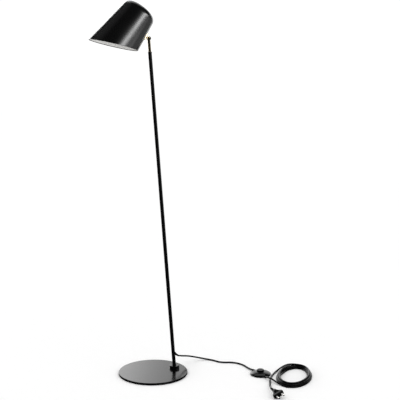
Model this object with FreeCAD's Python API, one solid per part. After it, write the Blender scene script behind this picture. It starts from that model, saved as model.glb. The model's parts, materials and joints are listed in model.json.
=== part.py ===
import FreeCAD, Part
import os, math
from FreeCAD import Vector, Placement, Rotation

# Leaning single-pole floor lamp: round steel base, pole rising off centre,
# brass stem and knuckle, tilting hood shade, foot switch and coiled mains lead.
# Millimetres. Origin at the centre of the base's underside, +Z up.
# The pole's foot is on +X, and the shade looks towards -X.

os.makedirs("parts", exist_ok=True)

# ---------------------------------------------------------------- dimensions
BASE_D = 250.0            # base disc
PAD_T = 1.0               # foam pad under the disc
BASE_TOP = 8.5            # top face of the disc
FOOT_X = 84.0             # pole foot from the disc's centre
LEAN = 4.28               # pole's lean from the vertical, degrees

FLANGE_D = 36.0
FLANGE_H = 11.0
POLE_D = 13.0
POLE_WALL = 1.0
POLE_S0 = 3.0             # pole's lower end, measured along the pole
POLE_S1 = 1147.5          # pole's upper end
EXIT_S = 59.7             # cable hole, measured along the pole
CAP_H = 4.5
STEM_D = 10.0
STEM_BORE = 4.6
PIVOT_S = 1197.85         # tilt axis, measured along the pole
KNUCKLE_R = 6.5

SHADE_TILT = 38.64        # shade axis from the vertical, degrees
SHADE_AX = -43.2          # shoulder centre of the shade
SHADE_AZ = 1284.9
SHADE_CONE = 7.72         # half angle of the flared side, degrees
SHADE_R = 59.7            # radius at the shoulder
SHADE_FILLET = 24.0
SHADE_TURN = 65.58        # turn of the shoulder fillet, degrees
SHADE_RIM_TILT = 13.42    # rim plane from the horizontal, degrees
SHADE_RIM_OFF = 123.2     # rim plane's distance from the shoulder centre
SHADE_T = 1.0             # sheet thickness

CORD_D = 6.0
SWITCH_X, SWITCH_Y = 351.0, -171.5
SWITCH_D = 75.0
SWITCH_IN = 104.5         # cord entry, degrees about +Z
SWITCH_OUT = 266.6
BUTTON_TRAVEL = 3.0
COIL_X, COIL_Y = 444.5, -254.3
COIL_TURN = 51.6          # long axis of the coil, degrees about +Z
COIL_A, COIL_B = 98.0, 53.0
COIL_W, COIL_H = 19.0, 15.0
PLUG_X, PLUG_Y, PLUG_Z = 299.8, -404.5, 13.8
PLUG_AXIS = -93.4         # direction of the pins, degrees about +Z
PLUG_ROLL = 24.5

def V(x, y, z):
    return Vector(x, y, z)

def rad(a):
    return math.radians(a)

Y = V(0, 1, 0)
Z = V(0, 0, 1)
POLE = Placement(V(FOOT_X, 0, BASE_TOP), Rotation(Y, -LEAN))
SHADE = Placement(V(SHADE_AX, 0, SHADE_AZ), Rotation(Y, SHADE_TILT))

def placed(shape, pl):
    s = shape.copy()
    s.Placement = pl.multiply(s.Placement)
    return s

def cyl(r, z0, z1, x=0, y=0):
    return Part.makeCylinder(r, z1 - z0, V(x, y, z0), Z)

def tube(ro, ri, z0, z1, x=0, y=0):
    return cyl(ro, z0, z1, x, y).cut(cyl(ri, z0 - 1, z1 + 1, x, y))

def ycyl(r, y0, y1, x, z):
    return Part.makeCylinder(r, y1 - y0, V(x, y0, z), Y)

def box(x0, x1, y0, y1, z0, z1):
    return Part.makeBox(x1 - x0, y1 - y0, z1 - z0, V(x0, y0, z0))

def revolve(points):
    wire = Part.makePolygon([V(r, 0, z) for r, z in points] + [V(points[0][0], 0, points[0][1])])
    return Part.Face(wire).revolve(V(0, 0, 0), Z, 360)

def one(shape):
    """The single solid of a boolean's result, refined."""
    s = shape.removeSplitter()
    return s.Solids[0] if len(s.Solids) == 1 else s

NODES = {}

def keep(name, shape):
    solids = shape.Solids
    bad = [s for s in solids if not s.isValid() or s.Volume <= 0]
    if not solids or bad:
        raise RuntimeError("bad solid in " + name)
    NODES[name] = shape
    if len(solids) == 1 and shape.ShapeType != "Solid":
        shape = solids[0]
    shape.exportStep("parts/" + name + ".step")
    print("%-24s solids %d  volume %.2f cm3" % (name, len(solids), shape.Volume / 1000.0))

def edges_where(shape, test):
    return [e for e in shape.Edges if test(e)]

def circle_edges(shape, r, z, tol=0.05):
    out = []
    for e in shape.Edges:
        c = e.Curve
        if hasattr(c, "Radius") and abs(c.Radius - r) < tol and abs(c.Center.z - z) < tol:
            out.append(e)
    return out

# --------------------------------------------------------------------- base
pad = cyl(119.0, 0, PAD_T)
keep("base_pad", pad)

plate = cyl(BASE_D / 2, PAD_T, BASE_TOP)
plate = plate.makeChamfer(0.6, circle_edges(plate, BASE_D / 2, BASE_TOP))
plate = plate.makeChamfer(0.4, circle_edges(plate, BASE_D / 2, PAD_T))
plate = plate.cut(placed(cyl(9.4, -12.0, -3.4), POLE))
plate = plate.cut(placed(cyl(4.3, -12.0, 4.0), POLE))
keep("base_plate", one(plate))

washer = placed(tube(9.0, 4.3, -4.4, -3.4), POLE)
keep("base_washer", one(washer))

def hexagon(af, z0, z1):
    r = af / 2 / math.cos(rad(30))
    pts = [V(r * math.cos(rad(60 * i)), r * math.sin(rad(60 * i)), z0) for i in range(7)]
    return Part.Face(Part.makePolygon(pts)).extrude(V(0, 0, z1 - z0))

bolt = cyl(6.5, -6.8, -4.4).fuse(cyl(3.95, -4.4, 22.0)).cut(hexagon(5.0, -6.9, -5.2))
keep("base_bolt", one(placed(bolt, POLE)))

flange = cyl(FLANGE_D / 2, BASE_TOP, BASE_TOP + FLANGE_H, FOOT_X, 0)
flange = flange.makeFillet(1.6, circle_edges(flange, FLANGE_D / 2, BASE_TOP + FLANGE_H))
flange = flange.makeFillet(0.8, circle_edges(flange, FLANGE_D / 2, BASE_TOP))
flange = flange.cut(placed(cyl(POLE_D / 2 + 0.05, POLE_S0, 40), POLE))
flange = flange.cut(placed(cyl(4.3, -12, 10), POLE))
keep("foot_flange", one(flange))

# --------------------------------------------------------------------- pole
pole = tube(POLE_D / 2, POLE_D / 2 - POLE_WALL, POLE_S0, POLE_S1)
pole = pole.cut(Part.makeCylinder(4.6, 20, V(0, 0, EXIT_S), V(1, 0, 0)))
keep("pole_tube", one(placed(pole, POLE)))

foot_plug = tube(POLE_D / 2 - POLE_WALL - 0.02, 4.0, POLE_S0, 30.0)
keep("pole_foot_plug", one(placed(foot_plug, POLE)))

cap = cyl(7.05, POLE_S1, POLE_S1 + CAP_H)
cap = cap.makeFillet(0.8, circle_edges(cap, 7.05, POLE_S1 + CAP_H))
cap = cap.fuse(cyl(POLE_D / 2 - POLE_WALL - 0.02, POLE_S1 - 14, POLE_S1)).cut(cyl(4.05, 1100, 1160))
keep("pole_cap", one(placed(cap, POLE)))

# tapered rubber relief, moulded with a collar that sits in the cable hole;
# it droops from the hole towards the floor
E0 = POLE.multVec(V(0, 0, EXIT_S))
RELIEF_DIR = V(0.79, 0.10, -0.605).normalize()
RELIEF_LEN = 25.0
E1 = E0 + RELIEF_DIR * RELIEF_LEN
relief = Part.makeCone(4.5, 3.3, RELIEF_LEN, E0, RELIEF_DIR)
relief = relief.cut(placed(cyl(POLE_D / 2 + 0.05, 20, 100), POLE))
collar = Part.makeCylinder(4.5, 3.2, V(POLE_D / 2 - POLE_WALL - 0.9, 0, EXIT_S), V(1, 0, 0))
collar = placed(collar, POLE)
relief = relief.fuse(collar)
relief = one(relief)
if len(relief.Solids) > 1:
    relief = max(relief.Solids, key=lambda s: s.Volume)
keep("pole_cord_relief", relief)

# mains flex inside the pole, from above the foot plug to the stem's bore
flex = cyl(2.6, EXIT_S - 6, POLE_S1 - 22.5)
keep("pole_flex", placed(flex, POLE))

# --------------------------------------------------------------------- stem
GAP = 0.05
s_sh = POLE_S1 + CAP_H + GAP
stem = cyl(STEM_D / 2, s_sh, PIVOT_S)
stem = stem.fuse(cyl(4.0, POLE_S1 - 22, s_sh))
half = ycyl(KNUCKLE_R, -5.0, -0.3, 0, PIVOT_S)
stem = stem.fuse(half)
stem = stem.cut(ycyl(KNUCKLE_R + 0.6, -0.3, 7.0, 0, PIVOT_S))
stem = stem.cut(cyl(STEM_BORE / 2, 1100, PIVOT_S - 9.5))
stem = stem.cut(ycyl(2.02, -8, 8, 0, PIVOT_S))
keep("stem", one(placed(stem, POLE)))

stem_washer = tube(5.3, 4.05, POLE_S1 - 15.05, POLE_S1 - 14.05)
keep("stem_washer", one(placed(stem_washer, POLE)))
stem_nut = tube(5.3, 4.02, POLE_S1 - 18.6, POLE_S1 - 15.1)
stem_nut = stem_nut.cut(box(-6, 6, -0.6, 0.6, POLE_S1 - 19, POLE_S1 - 17.6))
keep("stem_lock_nut", one(placed(stem_nut, POLE)))

pivot_screw = ycyl(3.8, -7.2, -5.02, 0, PIVOT_S).fuse(ycyl(2.0, -5.02, 8.2, 0, PIVOT_S))
pivot_screw = pivot_screw.cut(box(-5, 5, -7.3, -6.4, PIVOT_S - 0.5, PIVOT_S + 0.5))
keep("pivot_screw", one(placed(pivot_screw, POLE)))
friction = ycyl(5.6, -0.25, 0.25, 0, PIVOT_S).cut(ycyl(2.04, -1, 1, 0, PIVOT_S))
keep("friction_washer", one(placed(friction, POLE)))
spring_w = ycyl(3.9, 5.05, 5.65, 0, PIVOT_S).cut(ycyl(2.04, 5, 6, 0, PIVOT_S))
keep("pivot_spring_washer", one(placed(spring_w, POLE)))
nut = placed(hexagon(7.0, 0, 3.0), Placement(V(0, 5.7, PIVOT_S), Rotation(V(1, 0, 0), -90)))
nut = nut.cut(ycyl(2.02, 5, 10, 0, PIVOT_S))
keep("pivot_nut", one(placed(nut, POLE)))

# -------------------------------------------------------------------- shade
k = rad(SHADE_CONE)
psi = rad(SHADE_TURN)
S_LOW = -260.0

def shade_profile(t):
    """Meridian offset inwards by t: cone line, shoulder fillet, shallow dome."""
    r1 = SHADE_R - t * math.cos(k)
    s1 = -t * math.sin(k)
    # fillet centre is common to both skins
    fx = SHADE_R - SHADE_FILLET * math.cos(k)
    fs = -SHADE_FILLET * math.sin(k)
    rf = SHADE_FILLET - t
    a0, a1 = k, k + psi
    def fp(a):
        return (fx + rf * math.cos(a), fs + rf * math.sin(a))
    x_end = fx + SHADE_FILLET * math.cos(a1)
    rd0 = x_end / math.cos(a1)
    ds = fs + SHADE_FILLET * math.sin(a1) - rd0 * math.sin(a1)
    rd = rd0 - t
    def dp(a):
        return (rd * math.cos(a), ds + rd * math.sin(a))
    low = (r1 + (s1 - S_LOW) * math.tan(k), S_LOW)
    mid1 = fp((a0 + a1) / 2)
    end1 = fp(a1)
    mid2 = dp((a1 + math.pi / 2) / 2)
    top = (0.0, ds + rd)
    return low, fp(a0), mid1, end1, mid2, top

def P(p):
    return V(p[0], 0, p[1])

o = [P(p) for p in shade_profile(0.0)]
i = [P(p) for p in shade_profile(SHADE_T)]
edges = [Part.LineSegment(o[0], o[1]).toShape(),
         Part.Arc(o[1], o[2], o[3]).toShape(),
         Part.Arc(o[3], o[4], o[5]).toShape(),
         Part.LineSegment(o[5], i[5]).toShape(),
         Part.Arc(i[5], i[4], i[3]).toShape(),
         Part.Arc(i[3], i[2], i[1]).toShape(),
         Part.LineSegment(i[1], i[0]).toShape(),
         Part.LineSegment(i[0], o[0]).toShape()]
shell = Part.Face(Part.Wire(edges)).revolve(V(0, 0, 0), Z, 360)
d = rad(SHADE_TILT - SHADE_RIM_TILT)
rim_n = V(math.sin(d), 0, -math.cos(d))
slab = Part.makeBox(700, 700, 400, V(-350, -350, 0))
slab.Placement = Placement(rim_n * SHADE_RIM_OFF, Rotation(Z, rim_n))
shell = shell.cut(slab)

# bracket frame on the back generatrix: X outwards, Z up along the wall
pivot_world = POLE.multVec(V(0, 0, PIVOT_S))
pivot_l = SHADE.inverse().multVec(pivot_world)
gen_dir = V(-math.sin(k), 0, math.cos(k))
gen_n = V(math.cos(k), 0, math.sin(k))
foot = V(SHADE_R, 0, 0) + gen_dir * ((pivot_l - V(SHADE_R, 0, 0)).dot(gen_dir))
REACH = (pivot_l - foot).dot(gen_n)
BR = Placement(foot, Rotation(Y, -SHADE_CONE))
print("pivot", pivot_world, "reach from the wall %.2f" % REACH)

shell = shell.cut(placed(Part.makeCylinder(3.6, 8, V(-5, 0, 0), V(1, 0, 0)), BR))
for zz in (-8.5, 8.5):
    shell = shell.cut(placed(Part.makeCylinder(1.7, 8, V(-5, 0, zz), V(1, 0, 0)), BR))
keep("shade_shell", one(placed(shell, SHADE)))


# outer bracket: a block 24 x 14 x 5 hollowed to the wall's curve
block = box(-3.0, 5.0, -7.0, 7.0, -12.0, 12.0)
block = block.makeFillet(2.4, [e for e in block.Edges if abs(e.Vertexes[0].X - e.Vertexes[1].X) > 7.9])
block = block.makeFillet(1.2, [e for e in block.Edges if min(v.X for v in e.Vertexes) > 4.99])
block = placed(block, BR)
solid_shade = Part.Face(Part.Wire([Part.LineSegment(V(0, 0, S_LOW), o[0]).toShape(), edges[0],
                                   Part.LineSegment(o[1], V(0, 0, o[1].z)).toShape(),
                                   Part.LineSegment(V(0, 0, o[1].z), V(0, 0, S_LOW)).toShape()]))
solid_shade = solid_shade.revolve(V(0, 0, 0), Z, 360)
# the block's underside follows the cone
block = block.cut(solid_shade)
block = one(block)
if len(block.Solids) > 1:
    block = max(block.Solids, key=lambda s: s.Volume)
block = block.cut(placed(Part.makeCylinder(3.55, 12, V(-4, 0, 0), V(1, 0, 0)), BR))
for zz in (-8.5, 8.5):
    block = block.cut(placed(Part.makeCylinder(1.5, 8.2, V(-5, 0, zz), V(1, 0, 0)), BR))
keep("shade_bracket", one(placed(block, SHADE)))

# upper knuckle half: disc beside the stem's disc, neck into the bracket
up = ycyl(KNUCKLE_R, 0.3, 5.0, REACH, 0)
neck = Part.makeCylinder(3.5, REACH - 1.2, V(1.2, 0, 0), V(1, 0, 0))
up = up.fuse(neck).cut(ycyl(KNUCKLE_R + 0.6, -7.0, 0.3, REACH, 0))
up = up.cut(ycyl(2.05, -8, 8, REACH, 0))
up = up.cut(Part.makeCylinder(2.2, REACH - 9.0, V(0, 0.0, 0), V(1, 0, 0)))
up = one(up)
keep("knuckle_upper", one(placed(placed(up, BR), SHADE)))

# inner holder bracket: strip along the back wall, shelf under the crown
T_IN = SHADE_T + 0.45
strip = box(-T_IN - 2.0, -T_IN, -7.0, 7.0, -12.0, 43.5)
strip = placed(strip, BR)
x_strip = BR.multVec(V(-T_IN - 2.0, 0, 43.5)).x
shelf = box(0, x_strip + 1.0, -7.0, 7.0, 0.0, 2.0).fuse(cyl(12.0, 0.0, 2.0))
holder_bracket = strip.fuse(shelf).cut(cyl(5.1, -3, 5))
holder_bracket = holder_bracket.cut(placed(Part.makeCylinder(3.6, 12, V(-8, 0, 0), V(1, 0, 0)), BR))
for zz in (-8.5, 8.5):
    holder_bracket = holder_bracket.cut(placed(Part.makeCylinder(1.7, 12, V(-8, 0, zz), V(1, 0, 0)), BR))
keep("holder_bracket", one(placed(holder_bracket, SHADE)))

screws = []
for zz in (-8.5, 8.5):
    s = Part.makeCylinder(1.45, 6.4, V(-T_IN - 2.0, 0, zz), V(1, 0, 0))
    s = s.fuse(Part.makeCylinder(2.8, 1.8, V(-T_IN - 3.8, 0, zz), V(1, 0, 0)))
    screws.append(placed(placed(one(s), BR), SHADE))
keep("bracket_screws", Part.makeCompound(screws))

# lampholder: nipple and nut on the shelf, cap, body, shade ring
nipple = tube(4.95, 3.5, -7.5, 8.0)
keep("nipple", one(placed(nipple, SHADE)))
nip_nut = hexagon(14.0, 2.05, 5.0).cut(cyl(5.0, 0, 8))
keep("nipple_nut", one(placed(nip_nut, SHADE)))

hc = revolve([(5.0, -0.05), (12.0, -0.05), (18.5, -6.0), (19.5, -16.0), (19.5, -20.0), (17.0, -20.0),
              (17.0, -9.0), (11.0, -3.0), (5.0, -3.0)])
hc = hc.cut(Part.makeCylinder(2.9, 20, V(10, 0, -12), V(1, 0, 0)))
keep("holder_cap", one(placed(hc, SHADE)))
hb = revolve([(0.0, -20.05), (19.5, -20.05), (19.5, -24.0), (18.6, -25.0), (18.6, -50.0), (16.0, -50.0),
              (16.0, -27.0), (0.0, -27.0)])
keep("holder_body", one(placed(hb, SHADE)))
ring = tube(21.5, 18.65, -46.0, -40.0)
keep("holder_ring", one(placed(ring, SHADE)))
term = box(-8.0, 8.0, -5.0, 5.0, -20.0, -12.5)
keep("terminal_block", placed(term, SHADE))
contact = revolve([(0, -28.6), (3.2, -28.6), (3.2, -27.05), (0, -27.05)])
keep("centre_contact", placed(contact, SHADE))

# lamp: E27 cap and small globe, diameter 45
cap_e27 = revolve([(0.0, -28.7), (4.8, -28.7), (9.0, -31.0), (13.2, -33.0), (13.2, -52.0), (12.2, -52.0),
                   (12.2, -34.0), (8.4, -32.2), (0.0, -30.6)])
keep("bulb_cap", placed(cap_e27, SHADE))
gz = -77.5
prof = []
prof.append(Part.LineSegment(V(0, 0, -52.05), V(13.6, 0, -52.05)).toShape())
a_n = rad(52.0)
g0 = V(22.5 * math.cos(a_n), 0, gz + 22.5 * math.sin(a_n))
prof.append(Part.LineSegment(V(13.6, 0, -52.05), V(13.9, 0, -57.0)).toShape())
prof.append(Part.LineSegment(V(13.9, 0, -57.0), g0).toShape())
prof.append(Part.Arc(g0, V(22.5 * math.cos(rad(-10)), 0, gz + 22.5 * math.sin(rad(-10))), V(0, 0, gz - 22.5)).toShape())
prof.append(Part.LineSegment(V(0, 0, gz - 22.5), V(0, 0, -52.05)).toShape())
bulb = Part.Face(Part.Wire(prof)).revolve(V(0, 0, 0), Z, 360)
bulb = bulb.cut(Part.makeSphere(21.3, V(0, 0, gz))).cut(cyl(12.4, -62.0, -51.0))
keep("bulb_globe", one(placed(bulb, SHADE)))

# ------------------------------------------------------------------- routes
def route_wire(points, label, d, limit=5.0):
    """Straight runs joined by tangent arcs; each arc as large as its runs allow."""
    n = len(points)
    runs = [(points[j + 1] - points[j]).Length for j in range(n - 1)]
    segs = []
    last = points[0]
    radii = []
    for j in range(1, n - 1):
        u = (points[j] - points[j - 1]).normalize()
        w = (points[j + 1] - points[j]).normalize()
        ang = math.acos(max(-1.0, min(1.0, u.dot(w))))
        t = 0.45 * min(runs[j - 1], runs[j])
        r = t / math.tan(ang / 2)
        radii.append(r)
        a = points[j] - u * t
        b = points[j] + w * t
        h = (w - u).normalize()
        c = points[j] + h * (r / math.cos(ang / 2))
        m = c - h * r
        segs.append(Part.LineSegment(last, a).toShape())
        segs.append(Part.Arc(a, m, b).toShape())
        last = b
    segs.append(Part.LineSegment(last, points[-1]).toShape())
    wire = Part.Wire(segs)
    print("%s: runs %s" % (label, " ".join("%.0f" % q for q in runs)))
    print("%s: radii %s  smallest %.1f = %.1f diameters, length %.1f" %
          (label, " ".join("%.0f" % q for q in radii), min(radii), min(radii) / d, wire.Length))
    if min(radii) < limit * d:
        print("   NOTE small radius on", label)
    return wire

def cord_tube(points, label, d, limit=5.0):
    wire = route_wire(points, label, d, limit)
    start = (points[1] - points[0]).normalize()
    circ = Part.Wire([Part.Circle(points[0], start, d / 2).toShape()])
    s = wire.makePipeShell([circ], True, False)
    s = s if s.ShapeType == "Solid" else Part.Solid(s)
    want = math.pi * d * d / 4 * wire.Length
    print("%s: volume %.1f, section x length %.1f, ratio %.4f, valid %s" %
          (label, s.Volume, want, s.Volume / want, s.isValid()))
    return s

# flex inside the shade, from the wall hole to the holder cap's side
f0 = BR.multVec(V(-0.2, 0, 0))
f1 = BR.multVec(V(-12.0, 0, 0.3))
f2 = V(33.0, 0.0, -19.0)
f3 = V(19.0, 0.0, -12.0)
keep("shade_flex", placed(cord_tube([f0, f1, f2, f3], "shade flex", 5.0, 2.0), SHADE))

# ------------------------------------------------------------------- switch
SW = Placement(V(SWITCH_X, SWITCH_Y, 0), Rotation(Z, 0))
pad_ring = tube(35.0, 29.0, 0.0, 1.0)
keep("switch_foot_ring", one(placed(pad_ring, SW)))
sbase = revolve([(0, 1.0), (SWITCH_D / 2 - 0.6, 1.0), (SWITCH_D / 2, 1.6), (SWITCH_D / 2, 3.4), (SWITCH_D / 2 - 2.6, 3.4), (0, 3.4)])
for a in (20, 145, 250):
    sbase = sbase.cut(cyl(1.7, 0, 5, 24 * math.cos(rad(a)), 24 * math.sin(rad(a))))
    sbase = sbase.cut(cyl(3.1, 0, 2.0, 24 * math.cos(rad(a)), 24 * math.sin(rad(a))))
PORT_Z = 5.6
def port_dir(a):
    return V(math.cos(rad(a)), math.sin(rad(a)), 0)
for a in (SWITCH_IN, SWITCH_OUT):
    sbase = sbase.cut(Part.makeCylinder(4.25, 14, V(0, 0, PORT_Z) + port_dir(a) * 30.5, port_dir(a)))
keep("switch_base", one(placed(sbase, SW)))

def dome_profile(off):
    # outer meridian of the switch's top cover, as (r, z)
    pts = [(37.5, 3.45), (37.3, 4.6), (35.8, 6.2), (32.0, 8.1), (27.0, 9.9), (22.0, 11.2), (17.5, 12.1), (13.3, 12.5)]
    if off == 0:
        return pts
    return [(35.3, 3.45), (35.2, 4.0), (31.2, 6.2), (26.5, 7.9), (21.6, 9.2), (17.2, 10.1), (13.3, 10.5)]
outer = dome_profile(0)
inner = dome_profile(1)
sp = Part.BSplineCurve()
sp.interpolate([V(r, 0, z) for r, z in outer[1:]])
si = Part.BSplineCurve()
si.interpolate([V(r, 0, z) for r, z in inner[1:]])
w = [Part.LineSegment(V(37.5, 0, 3.45), V(37.3, 0, 4.6)).toShape(), sp.toShape(),
     Part.LineSegment(V(13.3, 0, 12.5), V(13.3, 0, 10.5)).toShape(), si.toShape(),
     Part.LineSegment(V(35.2, 0, 4.0), V(35.3, 0, 3.45)).toShape(),
     Part.LineSegment(V(35.3, 0, 3.45), V(37.5, 0, 3.45)).toShape()]
dome = Part.Face(Part.Wire(Part.__sortEdges__(w))).revolve(V(0, 0, 0), Z, 360)
if dome.Volume < 0:
    dome.reverse()
for a in (20, 145, 250):
    dome = dome.fuse(tube(3.2, 1.3, 3.45, 8.4, 24 * math.cos(rad(a)), 24 * math.sin(rad(a))))
for a in (SWITCH_IN, SWITCH_OUT):
    dome = dome.cut(Part.makeCylinder(4.4, 14, V(0, 0, PORT_Z) + port_dir(a) * 29, port_dir(a)))
keep("switch_cover", one(placed(dome, SW)))

grips = []
for a in (SWITCH_IN, SWITCH_OUT):
    p0 = V(0, 0, PORT_Z) + port_dir(a) * 31.0
    g = Part.makeCylinder(4.2, 7.5, p0, port_dir(a)).fuse(
        Part.makeCone(4.2, 3.4, 6.0, p0 + port_dir(a) * 7.5, port_dir(a)))
    grips.append(placed(one(g), SW))
keep("switch_cord_grips", Part.makeCompound(grips))
PORT_R = 44.5

core = box(-7.6, 7.6, -7.0, 7.0, 3.42, 7.0).fuse(tube(3.2, 1.5, 7.0, 8.4))
keep("switch_contact_block", one(placed(core, SW)))
button = revolve([(0, 19.5), (11.4, 19.5), (12.4, 18.5), (12.7, 12.0), (12.7, 9.9), (15.2, 9.9), (15.2, 8.4),
                  (11.2, 8.4), (11.2, 16.2), (10.2, 17.7), (0, 17.7)])
button = placed(button, SW)
keep("switch_button", button)
# return spring: closed sleeve of the coil's outer shape around the block's nose
spring = tube(5.2, 3.9, 7.05, 17.65)
keep("switch_spring", one(placed(spring, SW)))
sscrews = []
for a in (20, 145, 250):
    x, y = 24 * math.cos(rad(a)), 24 * math.sin(rad(a))
    s = cyl(2.8, 1.3, 1.95, x, y).fuse(cyl(1.25, 1.95, 8.0, x, y))
    sscrews.append(placed(one(s), SW))
keep("switch_screws", Part.makeCompound(sscrews))

# ----------------------------------------------------------------- the cord
def sw_port(a, r=PORT_R):
    return V(SWITCH_X, SWITCH_Y, PORT_Z) + port_dir(a) * r

lead_a = [E1, V(119.0, 15.5, 42.5), V(150, 35.5, 31.0), V(181, 51.5, 18.5), V(212, 59.5, 7.8), V(238, 52.5, 3.2),
          V(256, 30.5, 3.1), V(266, 6, 3.1), V(284, -9.5, 3.1), V(305, -15.5, 3.1), V(327, -37, 3.1),
          V(338.0, -70, 3.1), V(335.5, -104, 4.2), sw_port(SWITCH_IN)]
keep("cord_pole_to_switch", cord_tube(lead_a, "lead A", CORD_D))

lead_b = [sw_port(SWITCH_OUT), V(347.9, -229.5, 8.8), V(349.3, -243.0, 12.2), V(351.8, -259.0, 12.2), V(356.5, -276, 8.4),
          V(362.5, -292, 4.8), V(369.5, -307, 3.6), V(378.5, -321, 3.4)]
keep("cord_switch_to_coil", cord_tube(lead_b, "lead B", CORD_D))

# coil: one closed oval ring of the coil's outer shape
def ellipse_face(a, b, z):
    e = Part.Ellipse(V(0, 0, z), a, b)
    return Part.Face(Part.Wire([e.toShape()]))
co = ellipse_face(COIL_A + COIL_W / 2, COIL_B + COIL_W / 2, 0.0).extrude(V(0, 0, COIL_H))
ci = ellipse_face(COIL_A - COIL_W / 2, COIL_B - COIL_W / 2, -1.0).extrude(V(0, 0, COIL_H + 2))
coil = co.cut(ci)
coil = one(coil)
try:
    coil = coil.makeFillet(4.0, [e for e in coil.Edges if e.Length > 200])
except Exception as ex:
    print("coil fillet left out:", ex)
coil = placed(coil, Placement(V(COIL_X, COIL_Y, 0.05), Rotation(Z, COIL_TURN)))
keep("cord_coil", coil)

# ----------------------------------------------------------------- the plug
PL = Placement(V(PLUG_X, PLUG_Y, PLUG_Z), Rotation(Z, PLUG_AXIS)).multiply(
    Placement(V(0, 0, 0), Rotation(V(1, 0, 0), PLUG_ROLL)))
# local: X towards the pins, Y across the two pins, Z the body's thickness
outline = [V(0, -19, -7.5), V(0, 19, -7.5), V(-11, 19, -7.5), V(-27, 8.2, -7.5), V(-38, 6.6, -7.5),
           V(-38, -6.6, -7.5), V(-27, -8.2, -7.5), V(-11, -19, -7.5), V(0, -19, -7.5)]
body = Part.Face(Part.makePolygon(outline)).extrude(V(0, 0, 15.0))
upr = [e for e in body.Edges if abs(e.Vertexes[0].Z - e.Vertexes[1].Z) > 10 and e.Vertexes[0].X > -20]
body = body.makeFillet(5.0, upr)
top = [e for e in body.Edges if abs(abs(e.CenterOfMass.z) - 7.5) < 1e-3]
try:
    body = body.makeFillet(3.0, top)
except Exception as ex:
    print("plug edge fillet left out:", ex)
body = body.fuse(box(-1.5, 2.2, -12.5, 12.5, -5.0, 5.0))
keep("plug_body", one(placed(body, PL)))
pins = []
for yy in (-9.5, 9.5):
    p = Part.makeCylinder(2.4, 17.2, V(2.2, yy, 0), V(1, 0, 0))
    p = p.fuse(Part.makeCone(2.4, 1.5, 1.8, V(19.4, yy, 0), V(1, 0, 0)))
    pins.append(placed(one(p), PL))
keep("plug_pins", Part.makeCompound(pins))
relief_p = Part.makeCone(5.6, 3.5, 26.0, V(-38, 0, 0), V(-1, 0, 0))
keep("plug_relief", placed(relief_p, PL))
PEND = PL.multVec(V(-64.0, 0, 0))
print("plug relief end", PEND)

tail = [V(486, -168.5, 11.6), V(466, -162.5, 12.0), V(444, -162.0, 10.5), V(421, -171.0, 5.6), V(399.5, -185.5, 3.2),
        V(373, -213.0, 3.1), V(351.5, -244.0, 3.1), V(336, -272.5, 3.1), V(325, -294.0, 6.0), V(313.5, -316.0, 11.2), PEND]
keep("cord_coil_to_plug", cord_tube(tail, "tail C", CORD_D))


print("nodes:", len(NODES))
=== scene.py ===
import json
import math
import bpy
import bmesh
from mathutils import Matrix, Vector


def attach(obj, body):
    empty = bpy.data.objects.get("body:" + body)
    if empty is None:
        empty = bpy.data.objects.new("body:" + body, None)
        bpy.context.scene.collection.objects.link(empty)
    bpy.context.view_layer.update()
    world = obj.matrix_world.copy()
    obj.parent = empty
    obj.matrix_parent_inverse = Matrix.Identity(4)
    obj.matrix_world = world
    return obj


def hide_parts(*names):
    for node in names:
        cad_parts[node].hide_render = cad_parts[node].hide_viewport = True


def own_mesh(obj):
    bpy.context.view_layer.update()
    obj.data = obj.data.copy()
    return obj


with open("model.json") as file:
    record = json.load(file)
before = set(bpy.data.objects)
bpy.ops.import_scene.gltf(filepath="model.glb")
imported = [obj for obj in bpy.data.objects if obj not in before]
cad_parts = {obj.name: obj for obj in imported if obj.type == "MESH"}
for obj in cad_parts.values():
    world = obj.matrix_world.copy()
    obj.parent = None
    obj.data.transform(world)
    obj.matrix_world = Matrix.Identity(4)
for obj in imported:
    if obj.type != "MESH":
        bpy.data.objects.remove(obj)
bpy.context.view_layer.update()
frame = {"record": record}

MM = 0.001
rad = math.radians


def mm(p):
    return Vector((p[0] * MM, p[1] * MM, p[2] * MM))


# ------------------------------------------------------------------- camera
cam_data = bpy.data.cameras.new("camera")
cam_data.sensor_width = 36.0
cam_data.lens = 82.64
cam_data.clip_start, cam_data.clip_end = 0.05, 100.0
cam = bpy.data.objects.new("camera", cam_data)
cam.location = (-1.1476, -2.9920, 1.1734)
cam.rotation_euler = (rad(80.5447), 0.0, rad(-24.0405))
bpy.context.scene.collection.objects.link(cam)
bpy.context.scene.camera = cam

# ------------------------------------------------------------ local frames
POLE = Matrix.Translation(mm((84.0, 0.0, 8.5))) @ Matrix.Rotation(rad(-4.28), 4, "Y")
SHADE = Matrix.Translation(mm((-43.2, 0.0, 1284.9))) @ Matrix.Rotation(rad(38.64), 4, "Y")
K = rad(7.72)              # half angle of the shade's cone
SHADE_R = 59.7             # radius where the cone meets the shoulder
SWITCH = Matrix.Translation(mm((351.0, -171.5, 0.0)))
PLUG = (Matrix.Translation(mm((299.8, -404.5, 13.8))) @ Matrix.Rotation(rad(-93.4), 4, "Z")
        @ Matrix.Rotation(rad(24.5), 4, "X"))
PORT_IN, PORT_OUT = rad(104.5), rad(266.6)


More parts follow.
